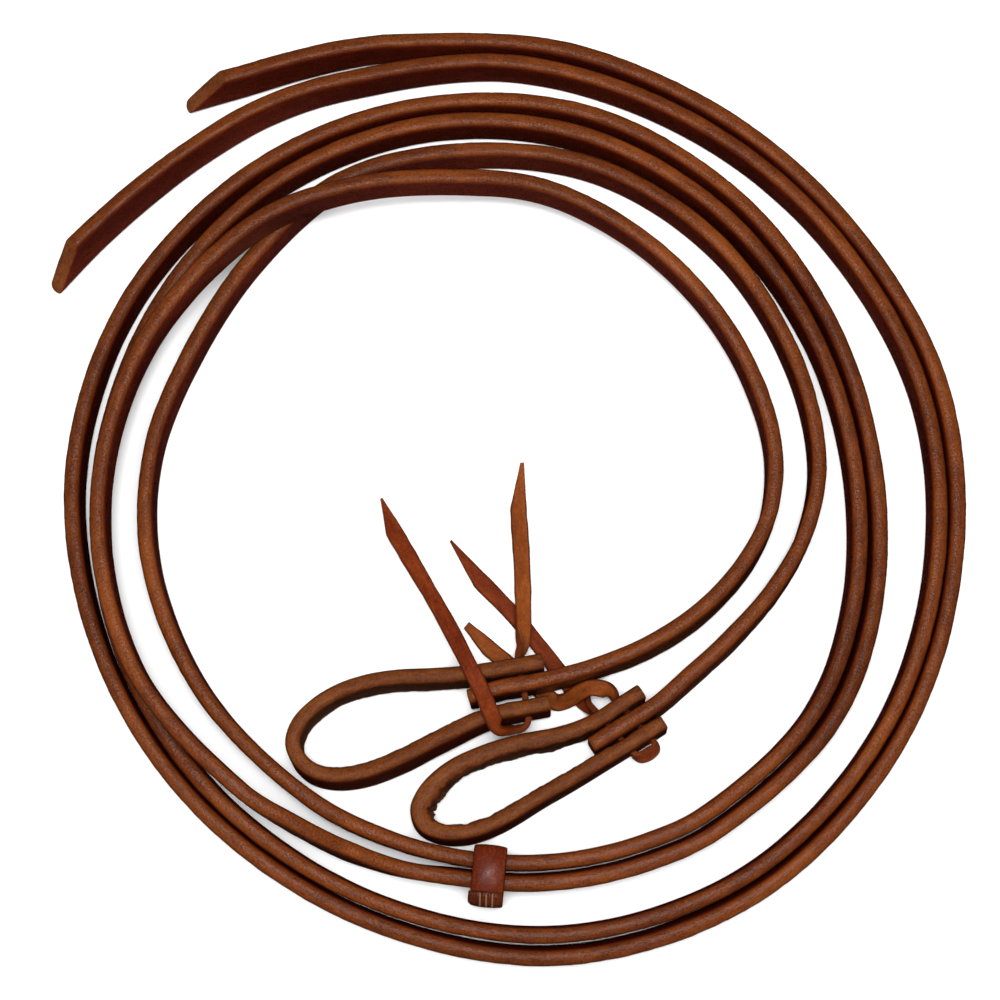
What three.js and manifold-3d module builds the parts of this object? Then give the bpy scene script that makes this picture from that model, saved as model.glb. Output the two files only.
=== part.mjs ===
// A pair of western split reins, coiled flat: two long leather straps standing on edge in three loose
// turns, each ending in a water loop tied on with a thong, and one sewn keeper that slides on two strands.
// Millimetres, +Z up. The coil stands on z = 0 on the cut edges of its straps, and the origin is the
// centre of the ground that it covers.
import * as THREE from 'three';
import { mergeVertices } from 'three/addons/utils/BufferGeometryUtils.js';
import Module from 'manifold-3d';

const wasm = await Module();
wasm.setup();
const { degToRad, lerp } = THREE.MathUtils;

// Driving dimensions
const STRAP_WIDTH = 16;
const STRAP_THICKNESS = 5;
const STRAP_CORNER = 0.9;
const STRAP_STEP = 11;
const LOOP_STEP = 4;
const END_CUT_ANGLE = degToRad(43);
const THONG_WIDTH = 4.8;
const THONG_THICKNESS = 2;
const THONG_CORNER = 0.3;
const THONG_STEP = 1.5;
const TAIL_POINT_LENGTH = 14;
const TAIL_TIP_WIDTH = 0.8;
const SLOT_HEIGHT = 5.8;
const SLOT_WIDTH = 2.9;
const KEEPER_LENGTH = 10.2;
const KEEPER_WALL = 1.4;
const KEEPER_LAP = 1.4;
const KEEPER_SHOULDER = 2.2;
const THREAD_DIAMETER = 0.8;
const THREAD_HOLE_DIAMETER = 1.5;
const STITCH_PLACES = [-1.9, 0, 1.9];

// Places: the coil is laid out about its own centre, then moved so that it is centred on the origin.
const COIL_SHIFT = new THREE.Vector3(4, -4.4, 0);
const KEEPER_CENTRE = new THREE.Vector2(2.4, 0);
const KEEPER_BEARING = -95.2;
const TRACK_BASE = 2.7;
const OUTER_TRACK = 118.9;
const INNER_TRACK = 113;
const TRACK_BEARINGS = [-60, -70, -80, -90, -100];

// Materials
function leather(color, roughness) {
  return new THREE.MeshStandardMaterial({ color, roughness, metalness: 0 });
}

const russet = leather(0x8a4a1e, 0.55);
const loopLeather = leather(0x84451c, 0.6);
const latigo = leather(0x8c3f1c, 0.65);
const chestnut = leather(0x7a3216, 0.4);
const linen = leather(0x6e3a1e, 0.8);

// A station is a point of a strap's centreline and its lean: the degrees by which the strap's upper edge
// tips to the left of the direction of travel. A lean of 0 stands on edge and 90 lies flat.
function station([x, y, z, lean = 0]) {
  return { point: new THREE.Vector3(x, y, z), lean };
}

// A standing strap is given by the height of its lowest corner above the ground.
function standing([x, y, base = 0, lean = 0]) {
  const tip = degToRad(Math.abs(lean));
  const rise = (STRAP_WIDTH * Math.cos(tip) + STRAP_THICKNESS * Math.sin(tip)) / 2;
  return station([x, y, base + rise, lean]);
}

function around(centre, bearing, radius) {
  const angle = degToRad(bearing);
  return [centre.x + radius * Math.cos(angle), centre.y + radius * Math.sin(angle)];
}

// A coiled station is given by its bearing and radius from the centre of the coil.
function coiled([bearing, radius, base, lean]) {
  return standing([...around(new THREE.Vector2(), bearing, radius), base, lean]);
}

// Where the keeper slides, both strands are level arcs about one centre.
function track(radius, lean) {
  const place = (bearing) => [...around(KEEPER_CENTRE, bearing, radius), TRACK_BASE, lean];
  return TRACK_BEARINGS.map((bearing) => standing(place(bearing)));
}

class StrapPath extends THREE.Curve {
  constructor(stations) {
    super();
    this.line = new THREE.CatmullRomCurve3(stations.map(({ point }) => point));
    this.leans = stations.map(({ lean }) => lean);
    this.arcLengthDivisions = 60 * stations.length;
  }

  getPoint(t, target = new THREE.Vector3()) {
    return this.line.getPoint(t, target);
  }

  leanAt(t) {
    const place = t * (this.leans.length - 1);
    const index = Math.min(Math.floor(place), this.leans.length - 2);
    return degToRad(lerp(this.leans[index], this.leans[index + 1], place - index));
  }

  // The width direction stays upright apart from the lean, so that a strap never twists by itself.
  computeFrenetFrames(segments) {
    const frames = { tangents: [], normals: [], binormals: [] };
    for (let i = 0; i <= segments; i++) {
      const t = this.getUtoTmapping(i / segments);
      const tangent = this.getTangent(t);
      const left = new THREE.Vector3(-tangent.y, tangent.x, 0).normalize();
      const up = tangent.clone().cross(left);
      const lean = this.leanAt(t);
      const across = up.multiplyScalar(Math.cos(lean)).addScaledVector(left, Math.sin(lean));
      frames.tangents.push(tangent);
      frames.normals.push(across.clone().cross(tangent));
      frames.binormals.push(across);
    }
    return frames;
  }
}

// Solids
function toSolid(source) {
  const geometry = source.clone();
  geometry.deleteAttribute('normal');
  geometry.deleteAttribute('uv');
  const merged = mergeVertices(geometry, 1e-4);
  const vertProperties = new Float32Array(merged.attributes.position.array);
  const triVerts = new Uint32Array(merged.index.array);
  return new wasm.Manifold(new wasm.Mesh({ numProp: 3, vertProperties, triVerts }));
}

function toMesh(name, solid, material) {
  const { numProp, vertProperties, triVerts } = solid.getMesh();
  const geometry = new THREE.BufferGeometry();
  geometry.setAttribute('position', new THREE.BufferAttribute(new Float32Array(vertProperties), numProp));
  geometry.setIndex(new THREE.BufferAttribute(new Uint32Array(triVerts), 1));
  geometry.computeVertexNormals();
  const mesh = new THREE.Mesh(geometry, material);
  mesh.name = name;
  return mesh;
}

function block(length, width, height, place) {
  return toSolid(new THREE.BoxGeometry(length, width, height).applyMatrix4(place));
}

function strapSection(thickness, width, corner) {
  const [x, y] = [thickness / 2, width / 2];
  return new THREE.Shape([
    new THREE.Vector2(x, corner - y),
    new THREE.Vector2(x, y - corner),
    new THREE.Vector2(x - corner, y),
    new THREE.Vector2(corner - x, y),
    new THREE.Vector2(-x, y - corner),
    new THREE.Vector2(-x, corner - y),
    new THREE.Vector2(corner - x, -y),
    new THREE.Vector2(x - corner, -y),
  ]);
}

function sweep(shape, path, step) {
  const steps = Math.round(path.getLength() / step);
  return toSolid(new THREE.ExtrudeGeometry(shape, { steps, extrudePath: path, bevelEnabled: false }));
}

// Tie points: where a thong passes through the three layers of a water loop. The direction is that of
// the layers, the skew turns the thong's way through them from square, and slots are places along them.
const OFF_TIE = { centre: [2.6, -58.9], direction: 9.8, skew: 0, height: 10.7, slots: [0] };
const NEAR_TIE = { centre: [34.7, -70.6], direction: 32.3, skew: 10, height: 8, slots: [-3.9, 3.3] };
const SLOT_REACH = 30;

function slotPlace({ centre, direction, skew, height }, along) {
  const angle = degToRad(direction);
  const place = new THREE.Matrix4().makeRotationZ(angle + degToRad(skew));
  return place.setPosition(centre[0] + along * Math.cos(angle), centre[1] + along * Math.sin(angle), height);
}

// A thong's station inside or beside a tie: its place along the layers, and how far through them it is.
function tied(tie, along, through, lean = 0) {
  const point = new THREE.Vector3(0, -through, 0).applyMatrix4(slotPlace(tie, along));
  return { point, lean };
}

function punched(solid, tie) {
  const cutters = tie.slots.map((along) => block(SLOT_WIDTH, SLOT_REACH, SLOT_HEIGHT, slotPlace(tie, along)));
  return cutters.reduce((body, cutter) => body.subtract(cutter), solid);
}

// The free end of a rein is cut on a slant that leaves its lower edge the longer one.
function slantCut(solid, path) {
  const size = 26;
  const tangent = path.getTangent(0);
  const inset = (STRAP_WIDTH / 2) * Math.tan(END_CUT_ANGLE);
  const place = new THREE.Matrix4().makeRotationZ(Math.atan2(tangent.y, tangent.x));
  place.setPosition(path.getPoint(0));
  place.multiply(new THREE.Matrix4().makeTranslation(inset, 0, 0));
  place.multiply(new THREE.Matrix4().makeRotationY(END_CUT_ANGLE));
  place.multiply(new THREE.Matrix4().makeTranslation(-size / 2, 0, 0));
  return solid.subtract(block(size, size, size * 1.6, place));
}

// A thong's tail is trimmed to a point by one slanting cut on its left side, looking towards the tip.
function pointed(solid, tip, outward) {
  const [length, depth] = [TAIL_POINT_LENGTH * 1.6, 12];
  const taper = Math.atan2(THONG_WIDTH - TAIL_TIP_WIDTH, TAIL_POINT_LENGTH);
  const place = new THREE.Matrix4().makeRotationZ(Math.atan2(outward.y, outward.x));
  place.setPosition(tip);
  place.multiply(new THREE.Matrix4().makeTranslation(0, TAIL_TIP_WIDTH - THONG_WIDTH / 2, 0));
  place.multiply(new THREE.Matrix4().makeRotationZ(-taper));
  place.multiply(new THREE.Matrix4().makeTranslation(-length / 3, depth / 2, 0));
  return solid.subtract(block(length, depth, depth, place));
}

// Reins: bearing, radius, base height and lean from the free end inward, clockwise round the coil.
const OFF_REIN_STATIONS = [
  ...[
    [-107.9, 133.6, 0, 9], [-88.7, 139.2, 0, 7], [-68.8, 145.2, 0, 5], [-52.9, 148.8, 0, 3],
  ].map(standing),
  ...[
    [104, 155.2, 0, 2], [84, 149], [62, 142.5], [40, 139.2],
    [16, 140], [-8, 139.4], [-32, 140.9, 0, 1.5], [-58, 142.7, 0, 5.5], [-84, 141.8, 0, 7],
    [-110, 137.7, 0, 4.5], [-136, 136.7, 0, 2],
    [-160, 137.8], [-184, 139.7], [-208, 139.3], [-232, 136.6], [-256, 133.1], [-280, 129.1],
    [-304, 122.1], [-328, 116.1], [-352, 113.9, 0.1], [-376, 117, 0.3, 2], [-396, 120.3, 1.6, 4],
  ].map(coiled),
  ...track(OUTER_TRACK, 5),
  ...[
    [-467, 120, 4, 0], [-475, 121, 7.4, -6], [-484, 122.1, 12.6, -4], [-493, 124, 16.3],
    [-515, 129, 16.5], [-538, 129, 16.5], [-562, 125.4, 16.5], [-586, 118.9, 16.5],
    [-601, 111.5, 16.5], [-618, 103.5, 14.6], [-636, 99.3, 11], [-658, 92, 7.3], [-682, 86.6, 4.5],
    [-706, 83.7, 3.1],
  ].map(coiled),
  ...[
    [80.4, -2.7, 2.7, -2], [73.2, -18.5, 2.7, -5], [59.3, -34.3, 2.7, -6], [41.8, -46, 2.7, -6],
    [22.9, -53.3, 2.7, -3],
    [7.7, -57.2, 2.7, -3], [-5, -59.5, 2.7, -3], [-14.4, -62.4, 2.7, -3],
  ].map(standing),
];

const NEAR_REIN_STATIONS = [
  ...[
    [-150.1, 71.8, 0, 11], [-134.4, 88.6, 0, 9], [-118.2, 103.4, 0, 8], [-99.9, 117.5, 0, 7],
    [-80.4, 129.1, 0, 6],
  ].map(standing),
  ...[
    [112, 148.3, 0, 4], [90, 143.6, 0, 1], [66, 137], [42, 133.6], [16, 133.9], [-8, 133.8],
    [-32, 135.2, 0, 1], [-58, 136.7, 0, 2], [-84, 135.4, 0, 3], [-110, 131.8, 0, 2], [-136, 131, 0, 1],
    [-160, 131.5], [-184, 131.1], [-208, 130], [-232, 129.4], [-256, 126.6], [-280, 121.8],
    [-304, 115.1], [-328, 109.6], [-352, 107.7, 0.1], [-376, 110.6, 0.3, 1], [-396, 114.2, 1.6, 1],
  ].map(coiled),
  ...track(INNER_TRACK, 0.8),
  ...[
    [-470, 112.5, 2], [-484, 112.9, 0.6], [-508, 114.5], [-530, 116.4], [-548, 116], [-566, 113.7],
    [-584, 115.2], [-602, 118.6], [-622, 115.3], [-644, 112.2], [-668, 106.1], [-692, 100.2],
    [-712, 96.9],
  ].map(coiled),
  ...[
    [91.9, -9, 0, -2], [81.6, -27.6, 0, -4], [66.7, -44.4, 0, -5], [54.7, -55.3, 0, -5], [44, -64.5, 0, -4],
    [32.1, -71.9, 0, -4], [23.9, -77.1, 0, -4],
  ].map(standing),
];

// Water loops: a short strap folded round on itself, its two ends clasping the end of a rein.
const OFF_LOOP_STATIONS = [
  [8.8, -51.3, 2.7, -4], [1.5, -52.6, 2.7, -4], [-5, -53.7, 2.7, -4], [-15, -55.2, 2.6, -4],
  [-26, -56, 2.3, -4], [-36.2, -56.4, 2, -4], [-45.9, -57.8, 1.6, -4], [-54.8, -60.7, 1.2, -3],
  [-61.8, -65, 0.8, -3], [-66.8, -70.3, 0.5, -3], [-68.8, -76, 0.4, -1], [-67.2, -81.3, 0.4, 3],
  [-62.7, -85.3, 0.4, 6], [-56, -86.9, 0.4, 7], [-46.8, -85.8, 0.6, 8], [-35.5, -81.6, 1.2, 8],
  [-23.2, -75.4, 2, 7], [-11, -69.5, 2.6, 6], [-4.7, -67.4, 2.7, 5], [1.5, -66.1, 2.7, 4],
  [10.8, -64.4, 2.7, 4],
].map(standing);

const NEAR_LOOP_STATIONS = [
  [39.7, -60.3, 0, -4], [33.1, -64.6, 0, -4], [26.8, -68.7, 0, -4], [20.1, -72, 0, -4],
  [12.9, -74.1, 0, -3], [1.7, -76.2, 0, -3], [-5.3, -78.1, 0, -3], [-11.8, -80.5, 0, -3],
  [-18, -83.4, 0, -3], [-23.2, -87, 0, -3], [-27.7, -91.7, 0, -2], [-30.1, -96.8, 0, 1],
  [-28.4, -101.4, 0, 3], [-23.3, -103.9, 0, 5], [-17.1, -104.3, 0, 6], [-10.7, -103, 0, 6],
  [-4.4, -100.3, 0, 6], [7.8, -93.1, 0, 5], [20.2, -86, 0, 4], [26.4, -82.2, 0, 4],
  [36.2, -76.3, 0, 3], [46.4, -69.8, 0, 3],
].map(standing);

// Tie thongs: from one pointed tail, through the slots, to the other pointed tail.
const OFF_THONG_STATIONS = [
  ...[
    [0.6, 14.4, 1.4, -90], [1.2, -1, 2, -90], [2.2, -17.2, 3.4, -90], [2.6, -30.2, 5, -90],
    [2.6, -39.5, 7, -75], [2.2, -45.5, 9.2, -30],
  ].map(station),
  tied(OFF_TIE, 0, -9.5, -2),
  tied(OFF_TIE, 0, 0),
  tied(OFF_TIE, 0, 9.2),
  ...[
    [3.4, -70.4, 10.7, 3], [1.6, -71.3, 11, 15], [-1, -71.8, 12.8, 18], [-3.5, -72.2, 16.2, 25],
    [-5.6, -71.6, 20, 45], [-7.4, -67.9, 21.8, 80], [-10.2, -61, 20.9, 90], [-14.4, -52.4, 20, 90],
    [-21.8, -37.7, 14.8, 90], [-32.9, -18, 8.4, 90], [-40, -5.5, 3.8, 90], [-44.3, 1.8, 1.4, 90],
  ].map(station),
];

const NEAR_THONG_STATIONS = [
  ...[
    [-21.9, -12.1, 1.3, 90], [-11, -23.6, 1.3, 90], [0.1, -35.2, 1.3, 90], [8, -44.8, 1.3, 90],
    [14.3, -53, 1.3, 90], [18.9, -59, 1.4, 88], [21.9, -62.4, 3.2, 60], [23.9, -64.6, 6.4, 10],
  ].map(station),
  tied(NEAR_TIE, -3.9, -8.8),
  tied(NEAR_TIE, -3.9, 0),
  tied(NEAR_TIE, -3.9, 8.2),
  tied(NEAR_TIE, -3.8, 9.5, 10),
  tied(NEAR_TIE, -2.7, 10.7, 30),
  tied(NEAR_TIE, -0.3, 11.1, 38),
  tied(NEAR_TIE, 2.1, 10.7, 30),
  tied(NEAR_TIE, 3.2, 9.5, 10),
  tied(NEAR_TIE, 3.3, 8.2),
  tied(NEAR_TIE, 3.3, 0),
  tied(NEAR_TIE, 3.3, -8.8),
  ...[
    [30.2, -60.2, 8.9, -28], [27.4, -58.9, 10.2, -80], [23.6, -58.6, 10, -90], [20.4, -59.7, 8, -85],
    [17.8, -61.2, 5.2, -70], [15.4, -62.2, 2.8, -70], [13.2, -62.4, 1.5, -88], [10.3, -60.6, 1.3, -90],
    [5, -56.2, 1.3, -90], [-1.5, -50.8, 1.3, -90], [-8.8, -44.7, 1.3, -90], [-16.1, -38.7, 1.3, -90],
  ].map(station),
];

function rein(stations, tie) {
  const path = new StrapPath(stations);
  const section = strapSection(STRAP_THICKNESS, STRAP_WIDTH, STRAP_CORNER);
  return punched(slantCut(sweep(section, path, STRAP_STEP), path), tie);
}

function waterLoop(stations, tie) {
  const section = strapSection(STRAP_THICKNESS, STRAP_WIDTH, STRAP_CORNER);
  return punched(sweep(section, new StrapPath(stations), LOOP_STEP), tie);
}

function tieThong(stations) {
  const path = new StrapPath(stations);
  const section = strapSection(THONG_THICKNESS, THONG_WIDTH, THONG_CORNER);
  const strip = sweep(section, path, THONG_STEP);
  const first = pointed(strip, path.getPoint(0), path.getTangent(0).negate());
  return pointed(first, path.getPoint(1), path.getTangent(1));
}

// Keeper: a sewn band round two strands. Its own frame has X outward from the track's centre, Y along
// the strands and Z up, so turning it about that centre slides it along the track.
const SLEEVE_INNER = INNER_TRACK - STRAP_THICKNESS / 2 - 0.6;
const SLEEVE_OUTER = OUTER_TRACK + STRAP_THICKNESS / 2 + 2.3;
const SLEEVE_BOTTOM = TRACK_BASE - 1.05;
const SLEEVE_TOP = TRACK_BASE + STRAP_WIDTH + 0.75;
const BAND_OUTER = SLEEVE_OUTER + KEEPER_WALL + KEEPER_LAP;
const BAND_TOP = SLEEVE_TOP + KEEPER_WALL;
const SIDE_STITCH_HEIGHT = BAND_TOP - KEEPER_SHOULDER - 1;
const TOP_STITCH_RADIUS = SLEEVE_OUTER - 0.6;

function roundedOutline(path, left, right, bottom, top, leftRadius, rightRadius) {
  const quarter = Math.PI / 2;
  path.moveTo(left + leftRadius, bottom);
  path.absarc(right - rightRadius, bottom + rightRadius, rightRadius, -quarter, 0);
  path.absarc(right - rightRadius, top - rightRadius, rightRadius, 0, quarter);
  path.absarc(left + leftRadius, top - leftRadius, leftRadius, quarter, 2 * quarter);
  path.absarc(left + leftRadius, bottom + leftRadius, leftRadius, 2 * quarter, 3 * quarter);
  return path;
}

function keeperBand() {
  const left = SLEEVE_INNER - KEEPER_WALL;
  const bottom = SLEEVE_BOTTOM - KEEPER_WALL;
  const profile = roundedOutline(new THREE.Shape(), left, BAND_OUTER, bottom, BAND_TOP, 1.6, KEEPER_SHOULDER);
  const hollow = [new THREE.Path(), SLEEVE_INNER, SLEEVE_OUTER, SLEEVE_BOTTOM, SLEEVE_TOP, 0.4, 0.4];
  profile.holes.push(roundedOutline(...hollow));
  const shape = { depth: KEEPER_LENGTH, bevelEnabled: false, curveSegments: 5 };
  const band = new THREE.ExtrudeGeometry(profile, shape).translate(0, 0, -KEEPER_LENGTH / 2);
  return toSolid(band.rotateX(Math.PI / 2));
}

// Each stitch comes up through the top of the band, runs over the shoulder and goes back in at the side.
function stitchHole(along) {
  const [radius, reach] = [THREAD_HOLE_DIAMETER / 2, 4];
  const bar = () => new THREE.CylinderGeometry(radius, radius, reach, 10);
  const up = bar().rotateX(Math.PI / 2).translate(TOP_STITCH_RADIUS, along, SLEEVE_TOP + KEEPER_WALL / 2);
  const side = bar().rotateZ(Math.PI / 2).translate(SLEEVE_OUTER + 1.6, along, SIDE_STITCH_HEIGHT);
  return toSolid(up).add(toSolid(side));
}

function keeper() {
  return STITCH_PLACES.reduce((band, along) => band.subtract(stitchHole(along)), keeperBand());
}

function keeperThread() {
  const stand = THREAD_DIAMETER / 2 + 0.35;
  const bend = KEEPER_SHOULDER + stand;
  const [shoulderX, shoulderZ] = [BAND_OUTER - KEEPER_SHOULDER, BAND_TOP - KEEPER_SHOULDER];
  const corner = bend * Math.SQRT1_2;
  const inside = SLEEVE_OUTER - THREAD_DIAMETER / 2 - 0.2;
  const route = STITCH_PLACES.flatMap((y) => [
    new THREE.Vector3(TOP_STITCH_RADIUS, y, SLEEVE_TOP - 0.6),
    new THREE.Vector3(TOP_STITCH_RADIUS, y, BAND_TOP + 0.2),
    new THREE.Vector3(shoulderX - 0.1, y, BAND_TOP + stand),
    new THREE.Vector3(shoulderX + corner, y, shoulderZ + corner),
    new THREE.Vector3(BAND_OUTER + stand, y, shoulderZ),
    new THREE.Vector3(BAND_OUTER + 0.1, y, SIDE_STITCH_HEIGHT),
    new THREE.Vector3(SLEEVE_OUTER + 0.2, y, SIDE_STITCH_HEIGHT),
    new THREE.Vector3(inside, y + 0.45, SIDE_STITCH_HEIGHT + 0.2),
  ]);
  const path = new THREE.CatmullRomCurve3(route);
  const section = new THREE.Shape().absarc(0, 0, THREAD_DIAMETER / 2, 0, 2 * Math.PI);
  const steps = Math.round(path.getLength() / 0.5);
  const shape = { steps, extrudePath: path, bevelEnabled: false, curveSegments: 4 };
  return toSolid(new THREE.ExtrudeGeometry(section, shape));
}

const coil = new THREE.Group();
coil.position.copy(COIL_SHIFT);
coil.add(toMesh('off_rein', rein(OFF_REIN_STATIONS, OFF_TIE), russet));
coil.add(toMesh('near_rein', rein(NEAR_REIN_STATIONS, NEAR_TIE), russet));
coil.add(toMesh('off_water_loop', waterLoop(OFF_LOOP_STATIONS, OFF_TIE), loopLeather));
coil.add(toMesh('near_water_loop', waterLoop(NEAR_LOOP_STATIONS, NEAR_TIE), loopLeather));
coil.add(toMesh('off_tie_thong', tieThong(OFF_THONG_STATIONS), latigo));
coil.add(toMesh('near_tie_thong', tieThong(NEAR_THONG_STATIONS), latigo));

const slider = new THREE.Group();
slider.position.set(KEEPER_CENTRE.x, KEEPER_CENTRE.y, 0);
slider.rotation.z = degToRad(KEEPER_BEARING);
slider.add(toMesh('keeper', keeper(), chestnut));
slider.add(toMesh('keeper_thread', keeperThread(), linen));
coil.add(slider);

const group = new THREE.Group();
group.add(coil);

export default group;
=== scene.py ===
import math

import bpy
import numpy as np
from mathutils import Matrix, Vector, kdtree


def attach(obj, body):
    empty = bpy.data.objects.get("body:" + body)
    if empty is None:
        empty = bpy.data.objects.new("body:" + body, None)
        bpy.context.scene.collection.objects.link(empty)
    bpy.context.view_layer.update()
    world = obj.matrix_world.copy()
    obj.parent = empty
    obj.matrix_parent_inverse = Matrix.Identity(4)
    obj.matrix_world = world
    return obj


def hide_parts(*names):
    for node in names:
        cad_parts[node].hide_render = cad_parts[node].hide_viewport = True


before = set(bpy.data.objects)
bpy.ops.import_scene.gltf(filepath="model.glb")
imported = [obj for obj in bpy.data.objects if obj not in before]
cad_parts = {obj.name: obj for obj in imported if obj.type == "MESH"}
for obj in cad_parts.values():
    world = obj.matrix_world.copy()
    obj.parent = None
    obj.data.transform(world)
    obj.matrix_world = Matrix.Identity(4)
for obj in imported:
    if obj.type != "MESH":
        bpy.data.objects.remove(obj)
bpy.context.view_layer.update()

# Driving dimensions, the same as the CAD model's
STRAP_WIDTH = 0.016
STRAP_THICKNESS = 0.005
END_CUT_ANGLE = math.radians(43)
THONG_WIDTH = 0.0048
THONG_THICKNESS = 0.002
SLOT_HEIGHT = 0.0058
SLOT_WIDTH = 0.0029
SLOT_REACH = 0.030
KEEPER_LENGTH = 0.0102
KEEPER_WALL = 0.0014
STITCH_PLACES = [-0.0019, 0.0, 0.0019]

# Finer shape that the looks add: how far the edges are rounded over, how rough the flesh side of a rein is,
# how much of the free end's length bends with its slant, and how far apart the rings of points are
EDGE_DEPTH = 0.0019
THONG_EDGE = 0.0006
KEEPER_EDGE = 0.0005
REIN_FUZZ = 0.00008
SLANT_FADE = 0.06
REIN_STEP = 0.0015
LOOP_STEP = 0.0004
THONG_STEP = 0.0005
KEEPER_STEP = 0.0003

COIL_SHIFT = (0.004, -0.0044, 0.0)
KEEPER_CENTRE = (0.0024, 0.0)
KEEPER_BEARING = math.radians(-95.2)
TRACK_BASE = 0.0027
OUTER_TRACK = 0.1189
INNER_TRACK = 0.113
TRACK_BEARINGS = [-60, -70, -80, -90, -100]


# Camera: above the coil and a little to its front
def make_camera():
    target = Vector((-0.0007, -0.0044, 0.016))
    elevation = math.radians(80.6)
    distance = 0.860
    data = bpy.data.cameras.new("camera")
    data.sensor_width = 36
    data.angle = math.radians(20.7)
    camera = bpy.data.objects.new("camera", data)
    back = Vector((0, -math.cos(elevation), math.sin(elevation)))
    camera.location = target + distance * back
    camera.rotation_mode = "QUATERNION"
    camera.rotation_quaternion = (-back).to_track_quat("-Z", "Y")
    bpy.context.scene.collection.objects.link(camera)
    bpy.context.scene.camera = camera


# Stations: a point of a strap's centreline and its lean, the degrees by which the strap's upper edge tips
# to the left of the direction of travel. A lean of 0 stands on edge and 90 lies flat.
def standing(x, y, base=0.0, lean=0.0):
    tip = math.radians(abs(lean))
    rise = (STRAP_WIDTH * math.cos(tip) + STRAP_THICKNESS * math.sin(tip)) / 2
    return (x, y, base + rise, lean)


def around(centre, bearing, radius):
    angle = math.radians(bearing)
    return centre[0] + radius * math.cos(angle), centre[1] + radius * math.sin(angle)


def coiled(bearing, radius, base=0.0, lean=0.0):
    return standing(*around((0, 0), bearing, radius), base, lean)


def track(radius, lean):
    return [standing(*around(KEEPER_CENTRE, b, radius), TRACK_BASE, lean) for b in TRACK_BEARINGS]


# Tie points: where a thong passes through the three layers of a water loop
OFF_TIE = {"centre": (0.0026, -0.0589), "direction": 9.8, "skew": 0, "height": 0.0107, "slots": [0]}
NEAR_TIE = {
    "centre": (0.0347, -0.0706), "direction": 32.3, "skew": 10, "height": 0.008, "slots": [-0.0039, 0.0033],
}


def tie_axes(tie):
    """The horizontal directions along a tie's layers and back out through them."""
    along = math.radians(tie["direction"])
    turned = along + math.radians(tie["skew"])
    return (math.cos(along), math.sin(along)), (-math.sin(turned), math.cos(turned))


def tied(tie, along, through, lean=0.0):
    layers, back = tie_axes(tie)
    x = tie["centre"][0] + along * layers[0] - through * back[0]
    y = tie["centre"][1] + along * layers[1] - through * back[1]
    return (x, y, tie["height"], lean)


def each(make, rows):
    return [make(*row) for row in rows]


OFF_REIN_STATIONS = [
    *each(standing, [
        (-0.1079, 0.1336, 0, 9), (-0.0887, 0.1392, 0, 7), (-0.0688, 0.1452, 0, 5), (-0.0529, 0.1488, 0, 3),
    ]),
    *each(coiled, [
        (104, 0.1552, 0, 2), (84, 0.149), (62, 0.1425), (40, 0.1392), (16, 0.14), (-8, 0.1394),
        (-32, 0.1409, 0, 1.5), (-58, 0.1427, 0, 5.5), (-84, 0.1418, 0, 7), (-110, 0.1377, 0, 4.5),
        (-136, 0.1367, 0, 2), (-160, 0.1378), (-184, 0.1397), (-208, 0.1393), (-232, 0.1366),
        (-256, 0.1331), (-280, 0.1291), (-304, 0.1221), (-328, 0.1161), (-352, 0.1139, 0.0001),
        (-376, 0.117, 0.0003, 2), (-396, 0.1203, 0.0016, 4),
    ]),
    *track(OUTER_TRACK, 5),
    *each(coiled, [
        (-467, 0.12, 0.004, 0), (-475, 0.121, 0.0074, -6), (-484, 0.1221, 0.0126, -4),
        (-493, 0.124, 0.0163), (-515, 0.129, 0.0165), (-538, 0.129, 0.0165), (-562, 0.1254, 0.0165),
        (-586, 0.1189, 0.0165), (-601, 0.1115, 0.0165), (-618, 0.1035, 0.0146), (-636, 0.0993, 0.011),
        (-658, 0.092, 0.0073), (-682, 0.0866, 0.0045), (-706, 0.0837, 0.0031),
    ]),
    *each(standing, [
        (0.0804, -0.0027, 0.0027, -2), (0.0732, -0.0185, 0.0027, -5), (0.0593, -0.0343, 0.0027, -6),
        (0.0418, -0.046, 0.0027, -6), (0.0229, -0.0533, 0.0027, -3), (0.0077, -0.0572, 0.0027, -3),
        (-0.005, -0.0595, 0.0027, -3), (-0.0144, -0.0624, 0.0027, -3),
    ]),
]

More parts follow.
